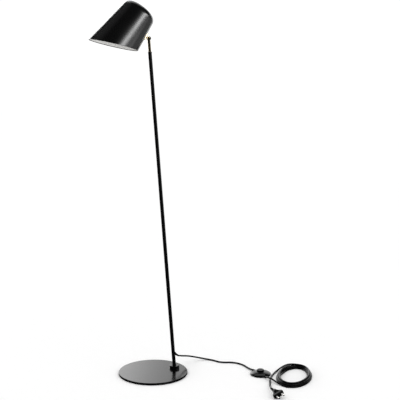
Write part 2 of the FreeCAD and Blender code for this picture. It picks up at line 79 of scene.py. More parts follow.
# ---------------------------------------------------------------- materials
class Nodes:
    """A Principled material with short helpers for its procedural inputs."""

    def __init__(self, name, color, rough, metallic=0.0, ior=1.5, spec=0.5):
        self.m = bpy.data.materials.new(name)
        self.m.use_nodes = True
        t = self.t = self.m.node_tree
        t.nodes.clear()
        self.out = t.nodes.new("ShaderNodeOutputMaterial")
        self.b = t.nodes.new("ShaderNodeBsdfPrincipled")
        t.links.new(self.b.outputs[0], self.out.inputs[0])
        self.b.inputs["Base Color"].default_value = (*color, 1.0)
        self.b.inputs["Roughness"].default_value = rough
        self.b.inputs["Metallic"].default_value = metallic
        self.b.inputs["IOR"].default_value = ior
        self.b.inputs["Specular IOR Level"].default_value = spec
        self.tc = t.nodes.new("ShaderNodeTexCoord")
        self.m.diffuse_color = (*color, 1.0)

    def node(self, kind, **props):
        n = self.t.nodes.new(kind)
        for k, v in props.items():
            setattr(n, k, v)
        return n

    def link(self, a, b):
        self.t.links.new(a, b)

    def coords(self, scale=(1, 1, 1), rot=(0, 0, 0), loc=(0, 0, 0)):
        mp = self.node("ShaderNodeMapping")
        mp.inputs["Scale"].default_value = scale
        mp.inputs["Rotation"].default_value = rot
        mp.inputs["Location"].default_value = loc
        self.link(self.tc.outputs["Object"], mp.inputs["Vector"])
        return mp.outputs[0]

    def noise(self, scale, detail=3.0, rough=0.55, vec=None, distortion=0.0):
        n = self.node("ShaderNodeTexNoise")
        n.inputs["Scale"].default_value = scale
        n.inputs["Detail"].default_value = detail
        n.inputs["Roughness"].default_value = rough
        n.inputs["Distortion"].default_value = distortion
        self.link(vec if vec is not None else self.tc.outputs["Object"], n.inputs["Vector"])
        return n.outputs["Fac"]

    def wave(self, scale, vec=None, direction="Z", distortion=0.0, kind="BANDS"):
        n = self.node("ShaderNodeTexWave", wave_type=kind)
        if kind == "BANDS":
            n.bands_direction = direction
        n.inputs["Scale"].default_value = scale
        n.inputs["Distortion"].default_value = distortion
        n.inputs["Detail"].default_value = 2.0
        self.link(vec if vec is not None else self.tc.outputs["Object"], n.inputs["Vector"])
        return n.outputs["Fac"]

    def remap(self, fac, lo, hi, a=0.0, b=1.0, smooth=False):
        n = self.node("ShaderNodeMapRange")
        if smooth:
            n.interpolation_type = "SMOOTHSTEP"
        for k, v in (("From Min", a), ("From Max", b), ("To Min", lo), ("To Max", hi)):
            n.inputs[k].default_value = v
        self.link(fac, n.inputs["Value"])
        return n.outputs[0]

    def ramp(self, fac, stops):
        n = self.node("ShaderNodeValToRGB")
        e = n.color_ramp.elements
        while len(e) < len(stops):
            e.new(0.5)
        for el, (p, c) in zip(e, stops):
            el.position = p
            el.color = (*c, 1.0)
        self.link(fac, n.inputs["Fac"])
        return n.outputs["Color"]

    def math(self, op, a, b):
        n = self.node("ShaderNodeMath", operation=op)
        for i, v in enumerate((a, b)):
            if isinstance(v, (int, float)):
                n.inputs[i].default_value = v
            else:
                self.link(v, n.inputs[i])
        return n.outputs[0]

    def color(self, out):
        self.link(out, self.b.inputs["Base Color"])

    def rough(self, out):
        self.link(out, self.b.inputs["Roughness"])

    def bump(self, *layers):
        """layers are (height, strength, distance in metres)"""
        last = None
        for h, s, d in layers:
            n = self.node("ShaderNodeBump")
            n.inputs["Strength"].default_value = s
            n.inputs["Distance"].default_value = d
            self.link(h, n.inputs["Height"])
            if last is not None:
                self.link(last, n.inputs["Normal"])
            last = n.outputs[0]
        self.link(last, self.b.inputs["Normal"])


def lacquer(name, base, lo, hi, peel=0.10, smudge=7.0, dust=0.5, spec=0.2):
    """Satin stove enamel: faint orange peel, smudges in the gloss and a little settled dust."""
    n = Nodes(name, base, (lo + hi) / 2, spec=spec)
    big = n.noise(smudge, 4.0, 0.6, distortion=0.6)
    fine = n.noise(900.0, 2.0, 0.5)
    specks = n.noise(2600.0, 1.0, 0.5)
    dusty = n.remap(specks, 0.0, dust, 0.70, 0.78)
    dusty = n.math("MULTIPLY", dusty, n.remap(big, 0.2, 1.0, 0.35, 0.7))
    lift = tuple(min(1.0, c * 2.0 + 0.010) for c in base)
    tint = n.ramp(dusty, [(0.0, base), (1.0, lift)])
    n.color(tint)
    n.rough(n.math("ADD", n.remap(big, lo, hi, 0.3, 0.72), n.remap(fine, -0.012, 0.012)))
    n.bump((n.noise(330.0, 2.0, 0.5), peel, 0.00012), (fine, peel * 0.6, 0.00005))
    return n.m


def plastic(name, base, lo, hi, grain=1500.0, strength=0.12, depth=0.00006, blotch=22.0, spec=0.22):
    """Moulded plastic or rubber: fine spark-eroded grain and slight changes of gloss and tone."""
    n = Nodes(name, base, (lo + hi) / 2, spec=spec)
    big = n.noise(blotch, 3.0, 0.55)
    fine = n.noise(grain, 3.0, 0.6)
    a = tuple(c * 0.75 for c in base)
    b = tuple(min(1.0, c * 1.35 + 0.001) for c in base)
    n.color(n.ramp(n.math("MULTIPLY", n.math("ADD", big, fine), 0.5), [(0.35, a), (0.65, b)]))
    n.rough(n.math("ADD", n.remap(big, lo, hi, 0.3, 0.7), n.remap(fine, -0.03, 0.03)))
    n.bump((fine, strength, depth))
    return n.m


def metal(name, a, b, lo, hi, lines=(0, 0, 0), lines_strength=0.05, blotch=60.0):
    """Turned or rolled metal: tarnish in patches and fine tool lines stretched along the surface."""
    n = Nodes(name, a, (lo + hi) / 2, metallic=1.0)
    big = n.noise(blotch, 4.0, 0.6, distortion=0.4)
    n.color(n.ramp(big, [(0.30, a), (0.62, a), (0.80, b)]))
    tool = n.noise(1.0, 3.0, 0.5, vec=n.coords(scale=lines))
    n.rough(n.math("ADD", n.remap(big, lo, hi, 0.35, 0.75), n.remap(tool, -0.03, 0.04)))
    n.bump((tool, lines_strength, 0.00004))
    return n.m


def make_cord_material():
    """Round PVC lead: satin black sheath, faintly uneven in tone and gloss."""
    n = Nodes("cord_pvc", (0.003, 0.003, 0.0032), 0.30, spec=0.14)
    big = n.noise(14.0, 3.0, 0.55)
    fine = n.noise(1300.0, 2.0, 0.5)
    n.color(n.ramp(big, [(0.35, (0.0020, 0.0020, 0.0021)), (0.7, (0.0042, 0.0042, 0.0044))]))
    n.rough(n.math("ADD", n.remap(big, 0.24, 0.34, 0.3, 0.7), n.remap(fine, -0.02, 0.02)))
    n.bump((n.noise(90.0, 2.0, 0.5), 0.10, 0.0003), (fine, 0.06, 0.00005))
    return n.m


def make_inside_material():
    """White enamel on the inside of the shade, slightly warm and uneven near the lamp."""
    n = Nodes("shade_inside", (0.82, 0.81, 0.79), 0.42)
    big = n.noise(16.0, 4.0, 0.6)
    n.color(n.ramp(big, [(0.3, (0.78, 0.775, 0.755)), (0.7, (0.85, 0.845, 0.83))]))
    n.rough(n.remap(big, 0.36, 0.52, 0.3, 0.7))
    n.bump((n.noise(420.0, 2.0, 0.5), 0.08, 0.0001))
    return n.m


def make_bulb_material():
    """Opal glass: white, smooth, faintly uneven coating."""
    n = Nodes("opal_glass", (0.88, 0.88, 0.86), 0.16)
    big = n.noise(38.0, 3.0, 0.5)
    n.color(n.ramp(big, [(0.3, (0.84, 0.84, 0.82)), (0.7, (0.91, 0.91, 0.90))]))
    n.rough(n.remap(big, 0.12, 0.22, 0.3, 0.7))
    n.b.inputs["Subsurface Weight"].default_value = 0.25
    n.b.inputs["Subsurface Radius"].default_value = (0.004, 0.004, 0.004)
    n.bump((n.noise(150.0, 2.0, 0.5), 0.03, 0.0001))
    return n.m


def make_foam_material():
    n = Nodes("foam_pad", (0.02, 0.02, 0.02), 0.9)
    cell = n.node("ShaderNodeTexVoronoi")
    cell.inputs["Scale"].default_value = 1400.0
    n.link(n.tc.outputs["Object"], cell.inputs["Vector"])
    n.color(n.ramp(cell.outputs["Distance"], [(0.0, (0.010, 0.010, 0.010)), (0.8, (0.035, 0.035, 0.035))]))
    n.rough(n.remap(cell.outputs["Distance"], 0.82, 0.97))
    n.bump((cell.outputs["Distance"], 0.3, 0.0002))
    return n.m


MAT = {
    "base": lacquer("base_lacquer", (0.0022, 0.0022, 0.0024), 0.15, 0.21, peel=0.02, dust=0.2),
    "pole": lacquer("pole_lacquer", (0.0018, 0.0018, 0.0020), 0.22, 0.32, peel=0.06, smudge=18.0, dust=0.2),
    "shade": lacquer("shade_lacquer", (0.0026, 0.0025, 0.0024), 0.23, 0.29, peel=0.04, smudge=11.0, dust=0.12, spec=0.72),
    "inside": make_inside_material(),
    "brass": metal("brass", (0.78, 0.63, 0.38), (0.50, 0.37, 0.19), 0.045, 0.085, lines=(60, 60, 2200), lines_strength=0.01),
    "contact": metal("contact_brass", (0.72, 0.56, 0.28), (0.45, 0.33, 0.16), 0.25, 0.4, lines=(900, 900, 900)),
    "zinc": metal("zinc_plate", (0.60, 0.61, 0.63), (0.40, 0.41, 0.42), 0.26, 0.42, lines=(1300, 90, 90)),
    "nickel": metal("nickel_pin", (0.70, 0.68, 0.64), (0.42, 0.40, 0.37), 0.14, 0.26, lines=(90, 2400, 90)),
    "lamp_cap": metal("lamp_cap_metal", (0.75, 0.75, 0.74), (0.52, 0.52, 0.52), 0.22, 0.36, lines=(500, 500, 60)),
    "switch": plastic("switch_gloss", (0.0026, 0.0026, 0.0028), 0.12, 0.19, grain=900.0, strength=0.03, depth=0.00004),
    "button": plastic("button_plastic", (0.0024, 0.0024, 0.0026), 0.30, 0.42, grain=1700.0, strength=0.08, spec=0.10),
    "rubber": plastic("black_rubber", (0.0030, 0.0030, 0.0030), 0.46, 0.60, grain=1500.0, strength=0.16, spec=0.12),
    "plug": plastic("plug_plastic", (0.0026, 0.0026, 0.0028), 0.28, 0.42, grain=1300.0, strength=0.12, spec=0.14),
    "sleeve": plastic("pin_sleeve", (0.78, 0.77, 0.74), 0.35, 0.45, grain=1700.0, strength=0.05),
    "holder": plastic("holder_phenolic", (0.016, 0.015, 0.014), 0.22, 0.36, grain=1000.0, strength=0.08),
    "white": plastic("white_plastic", (0.74, 0.74, 0.71), 0.38, 0.5, grain=1200.0, strength=0.06),
    "fibre": plastic("fibre_washer", (0.26, 0.15, 0.09), 0.6, 0.75, grain=2200.0, strength=0.25),
    "cord": make_cord_material(),
    "bulb": make_bulb_material(),
    "foam": make_foam_material(),
}

BY_SLOT = {
    "foam": "foam", "black_lacquer": "pole", "zinc": "zinc", "black_rubber": "rubber", "cord": "cord", "brass": "brass",
    "contact_brass": "contact", "fibre": "fibre", "shade_lacquer": "shade", "holder_plastic": "holder",
    "white_plastic": "white", "bulb_metal": "lamp_cap", "bulb_glass": "bulb", "switch_plastic": "switch",
    "button_plastic": "button", "plug_plastic": "plug", "pin_metal": "nickel",
}


# ------------------------------------------------------------- mesh helpers
def add_object(name, data, body, nodes=(), mats=()):
    ob = bpy.data.objects.new(name, data)
    bpy.context.scene.collection.objects.link(ob)
    for m in mats:
        data.materials.append(MAT[m])
    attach(ob, body)
    if nodes:
        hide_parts(*nodes)
    return ob


def soften(ob, bevel=0.0, segments=2, angle=38.0):
    """Smooth shading with flat faces kept flat, and small rounded edges where asked."""
    me = ob.data
    me.polygons.foreach_set("use_smooth", [True] * len(me.polygons))
    if bevel:
        b = ob.modifiers.new("edge", "BEVEL")
        b.width = bevel * MM
        b.segments = segments
        b.limit_method = "ANGLE"
        b.angle_limit = rad(angle)
        b.harden_normals = False
    w = ob.modifiers.new("normals", "WEIGHTED_NORMAL")
    w.keep_sharp = True
    w.weight = 60
    return ob


def arc(cx, cz, r, a0, a1, n):
    return [(cx + r * math.cos(rad(a0 + (a1 - a0) * i / n)), cz + r * math.sin(rad(a0 + (a1 - a0) * i / n)))
            for i in range(n + 1)]


def rounded(points, n=5):
    """points are (r, z) or (r, z, fillet radius); corners with a radius become arcs."""
    out = []
    count = len(points)
    for i, p in enumerate(points):
        f = p[2] if len(p) > 2 else 0.0
        if not f or i in (0, count - 1):
            out.append((p[0], p[1]))
            continue
        a, b, c = Vector(points[i - 1][:2]), Vector(p[:2]), Vector(points[i + 1][:2])
        u, w = (a - b).normalized(), (c - b).normalized()
        ang = math.acos(max(-1.0, min(1.0, u.dot(w))))
        if ang > math.pi - 0.02:
            out.append((p[0], p[1]))
            continue
        t = min(f / math.tan(ang / 2), 0.49 * (a - b).length, 0.49 * (c - b).length)
        r = t * math.tan(ang / 2)
        centre = b + (u + w).normalized() * (r / math.sin(ang / 2))
        s, e = b + u * t - centre, b + w * t - centre
        total = s.angle_signed(e)
        for j in range(n + 1):
            q = centre + Matrix.Rotation(-total * j / n, 2) @ s
            out.append((q.x, q.y))
    return out


def lathe_into(bm, profile, mat, seg=96, radial=None, index=0):
    """Revolves (r, z) in mm about local Z. radial(angle, r, z) may change the radius."""
    rings = []
    for r, z in profile:
        if r < 1e-6:
            rings.append([bm.verts.new(mat @ mm((0, 0, z)))])
        else:
            ring = []
            for i in range(seg):
                a = 2 * math.pi * i / seg
                rr = radial(a, r, z) if radial else r
                ring.append(bm.verts.new(mat @ mm((rr * math.cos(a), rr * math.sin(a), z))))
            rings.append(ring)
    for A, B in zip(rings, rings[1:]):
        for i in range(seg):
            j = (i + 1) % seg
            if len(A) == 1 and len(B) == 1:
                continue
            if len(A) == 1:
                f = bm.faces.new((A[0], B[j], B[i]))
            elif len(B) == 1:
                f = bm.faces.new((A[i], A[j], B[0]))
            else:
                f = bm.faces.new((A[i], A[j], B[j], B[i]))
            f.material_index = index
    return rings


def finish_mesh(name, bm):
    bmesh.ops.recalc_face_normals(bm, faces=bm.faces[:])
    me = bpy.data.meshes.new(name)
    bm.to_mesh(me)
    bm.free()
    return me


def lathe(name, profile, mat, body, nodes=(), mats=("base",), seg=96, radial=None, closed=False):
    bm = bmesh.new()
    prof = list(profile)
    if closed:
        prof.append(prof[0])
    rings = lathe_into(bm, prof, mat, seg, radial)
    if closed:
        bmesh.ops.remove_doubles(bm, verts=bm.verts[:], dist=1e-7)
    me = finish_mesh(name, bm)
    return soften(add_object(name, me, body, nodes, mats))


def axis_frame(origin, direction, up=(0, 0, 1)):
    """Matrix whose local Z is direction; origin in mm."""
    z = Vector(direction).normalized()
    x = Vector(up).cross(z)
    if x.length < 1e-6:
        x = Vector((1, 0, 0))
    x.normalize()
    y = z.cross(x)
    m = Matrix((x, y, z)).transposed().to_4x4()
    return Matrix.Translation(mm(origin)) @ m


# -------------------------------------------------------------------- cords
def cord_curve(name, points, radius, body, nodes, resolution=8):
    cu = bpy.data.curves.new(name, "CURVE")
    cu.dimensions = "3D"
    sp = cu.splines.new("NURBS")
    sp.points.add(len(points) - 1)
    for q, p in zip(sp.points, points):
        q.co = (p[0] * MM, p[1] * MM, p[2] * MM, 1.0)
    sp.order_u = 3
    sp.use_endpoint_u = True
    sp.resolution_u = resolution
    cu.bevel_depth = radius * MM
    cu.bevel_resolution = 7
    cu.use_fill_caps = True
    return add_object(name, cu, body, nodes, ("cord",))


CORD_D = 6.0
lead_a = [(99.29, 2.50, 52.91), (119.0, 15.5, 44.5), (150.0, 35.5, 34.0), (181.0, 51.5, 21.5), (212.0, 59.5, 9.8),
          (238.0, 52.5, 3.2), (256.0, 30.5, 3.1), (266.0, 6.0, 3.1), (284.0, -9.5, 3.1), (305.0, -15.5, 3.1),
          (327.0, -37.0, 3.1), (338.0, -70.0, 3.1), (335.5, -104.0, 4.2), (339.86, -128.42, 5.6)]

lead_b = [(348.36, -215.92, 5.6), (347.9, -229.5, 8.8), (349.3, -243.0, 12.2), (351.8, -259.0, 12.2),
          (356.5, -276.0, 8.4), (362.5, -292.0, 4.8), (367.2, -308.0, 3.4), (371.6, -322.0, 3.1)]

tail = [(490.5, -158.0, 15.4), (470.0, -153.5, 14.6), (446.0, -157.5, 9.4), (421.0, -170.0, 4.6), (399.5, -185.5, 3.2),
        (373.0, -213.0, 3.1), (351.5, -244.0, 3.1), (336.0, -272.5, 3.1), (325.0, -294.0, 6.0), (313.5, -316.0, 11.2),
        (303.60, -340.61, 13.8)]

# The coil: five and a half oval turns in a three-two-one bundle. A turn changes place in the
# bundle at its own spot on the far left side, so that no two turns meet.
SEATS = [(7.3, 3.1), (0.4, 3.1), (-6.5, 3.1), (-3.4, 8.9), (3.9, 8.9), (-1.2, 14.8)]   # outward offset, height
MOVES = [(-0.158, -0.09), (-0.226, -0.158), (-0.294, -0.226), (-0.362, -0.294), (-0.43, -0.362)]
LONG = Vector((math.cos(rad(51.6)), math.sin(rad(51.6)), 0.0))
SHORT = Vector((-LONG.y, LONG.x, 0.0))
COIL_C = Vector((447.3, -248.1, 0.0))


def seat(turn):
    for i, (lo, hi) in enumerate(MOVES):
        if turn < i + 1 + lo:
            return SEATS[i]
        if turn < i + 1 + hi:
            u = (turn - (i + 1 + lo)) / (hi - lo)
            e = u * u * (3 - 2 * u)
            out = SEATS[i][0] + (SEATS[i + 1][0] - SEATS[i][0]) * e
            up = SEATS[i][1] + (SEATS[i + 1][1] - SEATS[i][1]) * e
            side = math.sin(math.pi * u)
            return out + (0, 0, -0.9, 0, 1.2)[i] * side, up + (0, 0, 0, 0.4, 0)[i] * side
    return SEATS[-1]


def coil_points(first, last, per_turn=20):
    points = []
    count = int(round((last - first) * per_turn))
    for j in range(count + 1):
        turn = first + (last - first) * j / count
        out, up = seat(turn)
        place = turn - math.floor(turn + 0.5)

        def near(where, width):
            return math.exp(-((place - where) / width) ** 2)

        if up > 12.0:
            up += 1.3 * near(-0.328, 0.05) + 0.5 * near(-0.192, 0.10)
        elif up > 7.5 and out < -2.0:
            up += 0.6 * near(-0.192, 0.055)
        elif up > 7.5 and out > 2.0:
            up += 0.6 * near(-0.124, 0.055)
        a = math.pi + 2 * math.pi * turn
        out += 0.3 * math.sin(2 * a + 1.7 * int(turn)) + 1.0
        p = COIL_C + LONG * ((98.0 + out) * math.cos(a)) + SHORT * ((53.0 + out) * math.sin(a))
        points.append((p.x, p.y, up))
    return points


cord_1 = cord_curve("lead_pole_to_switch", lead_a, CORD_D / 2, "stand", ["cord_pole_to_switch"])
cord_2 = cord_curve("lead_switch_to_plug", lead_b + coil_points(0.005, 5.5) + tail, CORD_D / 2, "stand",
                    ["cord_switch_to_coil", "cord_coil", "cord_coil_to_plug"])

# --------------------------------------------------------------------- base
plate = lathe("base_disc",
              [(0, 1.0), (118.0, 1.0), (124.4, 1.0), (125.0, 1.6), (125.0, 4.0), (125.0, 7.2)]
              + arc(123.7, 7.2, 1.3, 0, 90, 8)[1:] + [(122.6, 8.5), (118.0, 8.5), (60.0, 8.5), (0, 8.5)],
              Matrix.Identity(4), "stand", ["base_plate"], ("base",), seg=256)

flange = lathe("foot_collar",
               rounded([(0, 8.45), (18.9, 8.45), (18.9, 8.7, 0.3), (18.0, 9.4, 1.0), (18.0, 19.5, 1.9), (8.4, 19.5, 0.3),
                        (7.9, 19.0, 0.3), (0, 19.0)]),
               Matrix.Translation(mm((84.0, 0, 0))), "stand", ["foot_flange"], ("base",), seg=128)

gasket = lathe("foot_gasket",
               rounded([(6.4, 10.0), (8.3, 10.0), (8.3, 11.7, 0.5), (7.2, 12.5, 0.6), (6.4, 12.9)]),
               POLE, "stand", (), ("rubber",), seg=72)

# set screw in the collar's back
grub = axis_frame((84.0 + 17.6, 0.0, 14.4), (1, 0, 0))
bm = bmesh.new()
lathe_into(bm, rounded([(0, -3.0), (2.3, -3.0), (2.3, 0.1, 0.25), (1.3, 0.1)]), grub, 40)
hexa = [Vector((1.3 * math.cos(rad(60 * i)), 1.3 * math.sin(rad(60 * i)))) for i in range(6)]
top = [bm.verts.new(grub @ mm((h.x, h.y, 0.1))) for h in hexa]
low = [bm.verts.new(grub @ mm((h.x, h.y, -1.6))) for h in hexa]
for i in range(6):
    bm.faces.new((top[i], top[(i + 1) % 6], low[(i + 1) % 6], low[i]))
bm.faces.new(low)
set_screw = soften(add_object("collar_set_screw", finish_mesh("collar_set_screw", bm), "stand", (), ("zinc",)))

# --------------------------------------------------------------------- pole
pole = lathe("pole", rounded([(0, 3.0), (6.5, 3.0, 0.3), (6.5, 100.0), (6.5, 400.0), (6.5, 800.0), (6.5, 1147.2, 0.4),
                              (5.6, 1147.4), (0, 1147.4)]),
             POLE, "stand", ["pole_tube"], ("pole",), seg=72)
cap = lathe("pole_top_collar",
            rounded([(0, 1146.9), (6.6, 1146.9), (7.05, 1147.5, 0.2), (7.05, 1151.9, 0.9), (5.2, 1152.0, 0.1), (0, 1152.0)]),
            POLE, "stand", ["pole_cap"], ("pole",), seg=72)
flex = cord_curve("pole_inner_flex",
                  [tuple((POLE @ mm((0, 0, s))) / MM) for s in (56.0, 110.0, 300.0, 600.0, 900.0, 1080.0, 1125.0)],
                  2.6, "stand", ["pole_flex"])

# cord relief: ribbed, tapered, with a moulded collar against the pole
E0 = Vector((79.5445, 0.0, 68.0335))
RDIR = Vector((0.79, 0.10, -0.605)).normalized()


def ribbed(r0, r1, z0, z1, count, depth, tip):
    """Profile of a tapered relief with rounded grooves, tip closed onto the cord."""
    pts = []
    span = (z1 - z0) / count
    for i in range(count):
        for j in range(8):
            z = z0 + span * (i + j / 8.0)
            t = (z - z0) / (z1 - z0)
            r = r0 + (r1 - r0) * t
            g = 0.5 - 0.5 * math.cos(2 * math.pi * j / 8.0)
            pts.append((r - depth * g ** 1.6, z))
    pts.append((r1, z1))
    pts += [(r1 - 0.08, z1 + 0.35), (tip + 0.02, z1 + 0.55), (tip - 0.5, z1 + 0.5)]
    return pts


relief = lathe("pole_relief",
               [(0.0, 2.0), (4.3, 2.0), (4.55, 4.5), (4.6, 7.2), (5.6, 7.4), (5.75, 7.9), (5.6, 8.7), (4.5, 9.1)]
               + ribbed(4.3, 3.45, 9.6, 24.6, 6, 0.55, 3.0) + [(0.0, 25.0)],
               axis_frame(E0, RDIR), "stand", ["pole_cord_relief"], ("rubber",), seg=56)

# -------------------------------------------------------------------- shade
psi = rad(65.58)
FILLET = 24.0


def skin(t, n_dome=22, n_fillet=16):
    """Outline of the crown from the axis to the cone, offset inwards by t."""
    fx, fs = SHADE_R - FILLET * math.cos(K), -FILLET * math.sin(K)
    a1 = K + psi
    x_end = fx + FILLET * math.cos(a1)
    rd0 = x_end / math.cos(a1)
    ds = fs + FILLET * math.sin(a1) - rd0 * math.sin(a1)
    out = []
    for i in range(n_dome):
        a = math.pi / 2 + (a1 - math.pi / 2) * i / n_dome
        out.append(((rd0 - t) * math.cos(a), ds + (rd0 - t) * math.sin(a)))
    for i in range(n_fillet + 1):
        a = a1 + (K - a1) * i / n_fillet
        out.append((fx + (FILLET - t) * math.cos(a), fs + (FILLET - t) * math.sin(a)))
    out[0] = (0.0, out[0][1])
    return out


DELTA = rad(38.64 - 13.42)
RIM = 123.2


def rim_s(a, t):
    """Height on the cone at which the rim plane cuts the generatrix at angle a."""
    r0 = SHADE_R - t / math.cos(K)
    return (r0 * math.cos(a) * math.sin(DELTA) - RIM) / (math.cos(DELTA) + math.tan(K) * math.cos(a) * math.sin(DELTA))


SEG = 192
N_CONE = 27
WRAP = 1.8                 # the outer colour reaches this far over the lip, inside
bm = bmesh.new()


def shade_skin(t, index):
    prof = skin(t)
    rings = [[bm.verts.new(SHADE @ mm((0, 0, prof[0][1])))]]
    for r, s in prof[1:]:
        rings.append([bm.verts.new(SHADE @ mm((r * math.cos(2 * math.pi * i / SEG), r * math.sin(2 * math.pi * i / SEG), s)))
                      for i in range(SEG)])
    s0 = prof[-1][1]
    r0 = prof[-1][0]
    for j in range(1, N_CONE + 1):
        ring = []
        for i in range(SEG):
            a = 2 * math.pi * i / SEG
            s = s0 + (rim_s(a, t) + WRAP - s0) * j / (N_CONE - 1) if j < N_CONE else rim_s(a, t)
            r = r0 + (s0 - s) * math.tan(K)
            ring.append(bm.verts.new(SHADE @ mm((r * math.cos(a), r * math.sin(a), s))))
        rings.append(ring)
    for A, B in zip(rings, rings[1:]):
        for i in range(SEG):
            j = (i + 1) % SEG
            f = bm.faces.new((A[0], B[i], B[j])) if len(A) == 1 else bm.faces.new((A[i], B[i], B[j], A[j]))
            f.material_index = 0 if B is rings[-1] else index
    return rings[-1]


outer = shade_skin(0.0, 0)
inner = shade_skin(1.0, 1)
# rounded lip between the skins
lip_n = (SHADE.to_3x3() @ Vector((math.sin(DELTA), 0, -math.cos(DELTA)))).normalized()
loops = [outer]
for j in range(1, 5):
    a = math.pi * j / 5
    ring = []
    for o, i in zip(outer, inner):
        mid = (o.co + i.co) / 2
        half = (o.co - i.co) / 2
        ring.append(bm.verts.new(mid + half * math.cos(a) + lip_n * (0.5 * MM * math.sin(a))))
    loops.append(ring)
loops.append(inner)
for A, B in zip(loops, loops[1:]):
    for i in range(SEG):
        j = (i + 1) % SEG
        f = bm.faces.new((A[i], B[i], B[j], A[j]))
        f.material_index = 0
shade = soften(add_object("shade", finish_mesh("shade", bm), "shade", ["shade_shell"], ("shade", "inside")))

# --------------------------------------- lampholder and lamp in the shade
def thread(base, depth, pitch, z0, z1, steps=8):
    out = []
    n = int(round((z0 - z1) / pitch * steps))
    for i in range(n + 1):
        z = z0 + (z1 - z0) * i / n
        out.append((base - depth * (0.5 - 0.5 * math.cos(2 * math.pi * (z0 - z) / pitch)), z))
    return out


holder_cap = lathe("lampholder_cap",
                   rounded([(0, -0.05), (12.0, -0.05, 1.2), (18.5, -6.0, 3.0), (19.5, -13.5, 1.5), (19.5, -16.2, 0.4),
                            (19.0, -16.6, 0.2), (19.5, -17.0, 0.2), (19.5, -20.0, 0.2), (0, -20.0)]),
                   SHADE, "shade", ["holder_cap"], ("holder",), seg=96)
holder_body = lathe("lampholder_skirt",
                    rounded([(0, -20.06), (19.45, -20.06, 0.3), (19.45, -23.4, 0.5), (18.6, -24.6, 0.4)])
                    + thread(18.6, 0.75, 2.6, -25.4, -48.8)
                    + [(18.3, -49.7), (17.9, -50.0), (16.2, -50.0), (15.9, -49.6), (15.9, -40.0), (15.9, -27.4), (0, -27.4)],
                    SHADE, "shade", ["holder_body"], ("holder",), seg=96)


def grip(a, r, z):
    return r + (0.55 * math.cos(24 * a) if r > 20.6 else 0.0)


holder_ring = lathe("lampholder_ring",
                    rounded([(18.7, -40.2), (20.2, -40.0, 0.3), (20.9, -40.6, 0.4), (20.9, -45.0, 0.4), (20.2, -46.0, 0.3),
                             (18.7, -45.8)]),
                    SHADE, "shade", ["holder_ring"], ("holder",), seg=192, radial=grip, closed=True)
lamp_cap = lathe("lamp_cap",
                 [(0, -28.7), (4.6, -28.8), (5.0, -29.4), (9.0, -31.0), (12.4, -32.6), (13.1, -33.4)]
                 + thread(13.2, 1.0, 3.62, -33.8, -49.8) + [(13.1, -51.0), (13.4, -52.0), (0, -52.0)],
                 SHADE, "shade", ["bulb_cap"], ("lamp_cap",), seg=96)
GZ = -77.5
globe_prof = [(0, -52.06), (13.3, -52.06), (13.6, -52.5), (13.75, -55.0), (13.95, -57.2), (14.25, -59.0)]
a_start = 47.0
globe_prof += arc(0, GZ, 22.5, a_start, -90, 40)
globe_prof[-1] = (0.0, GZ - 22.5)
globe = lathe("lamp_globe", globe_prof, SHADE, "shade", ["bulb_globe"], ("bulb",), seg=96)

# short lead from the wall's hole to the holder cap


def bracket_point(out, up):
    """Point in the shade's local frame: out along the wall's normal, up along the wall, from the bracket's centre."""
    pivot = SHADE.inverted() @ (POLE @ mm((0, 0, 1197.85)))
    gd, gn = Vector((-math.sin(K), 0, math.cos(K))), Vector((math.cos(K), 0, math.sin(K)))
    base = mm((SHADE_R, 0, 0))
    foot = base + gd * (pivot - base).dot(gd)
    return (foot + gn * (out * MM) + gd * (up * MM)) / MM


f0, f1 = bracket_point(-0.2, 0.0), bracket_point(-12.0, 0.3)
flex_pts = [f0, (f0 * 2 + f1) / 3, f1, Vector((39.5, 0.0, -36.0)), Vector((36.0, 0.0, -25.0)), Vector((31.0, 0.0, -18.0)),
            Vector((25.0, 0.0, -13.5)), Vector((18.6, 0.0, -12.0))]
shade_flex = cord_curve("shade_inner_flex", [tuple((SHADE @ mm(p)) / MM) for p in flex_pts], 2.5, "shade",
                        ["shade_flex"])

# ------------------------------------------------------------------- switch
dome = [(37.5, 3.5), (37.45, 4.2), (37.1, 5.0), (36.2, 5.9), (34.6, 6.9), (32.0, 8.1), (29.5, 9.05), (27.0, 9.9),
        (24.5, 10.6), (22.0, 11.2), (19.5, 11.7), (17.6, 12.0), (16.6, 12.15)]
cover = lathe("switch_dome",
              [(36.0, 3.5)] + dome + [(16.1, 12.35), (15.7, 12.7), (15.2, 12.85), (14.0, 12.9), (13.5, 12.75), (13.3, 12.4),
                                      (13.3, 10.6), (21.6, 9.3), (31.0, 6.3), (35.0, 4.2)],
              SWITCH, "stand", ["switch_cover"], ("switch",), seg=144, closed=True)
sbase = lathe("switch_tray",
              rounded([(0, 1.0), (36.6, 1.0, 0.2), (37.5, 1.8, 0.7), (37.5, 3.0, 0.15), (37.15, 3.15), (37.0, 3.42), (0, 3.42)]),
              SWITCH, "stand", ["switch_base"], ("switch",), seg=144)
button = lathe("switch_push",
               [(0, 18.7), (5.0, 18.75), (8.5, 18.95), (9.8, 19.2), (10.5, 19.45), (11.1, 19.5), (11.8, 19.35), (12.3, 18.9),
                (12.5, 18.2), (12.6, 16.0), (12.7, 12.0), (12.7, 9.9), (15.1, 9.9), (15.1, 8.5), (11.3, 8.5), (11.2, 17.3),
                (10.8, 17.7), (0, 17.7)],
               SWITCH, "foot_button", ["switch_button"], ("button",), seg=96)
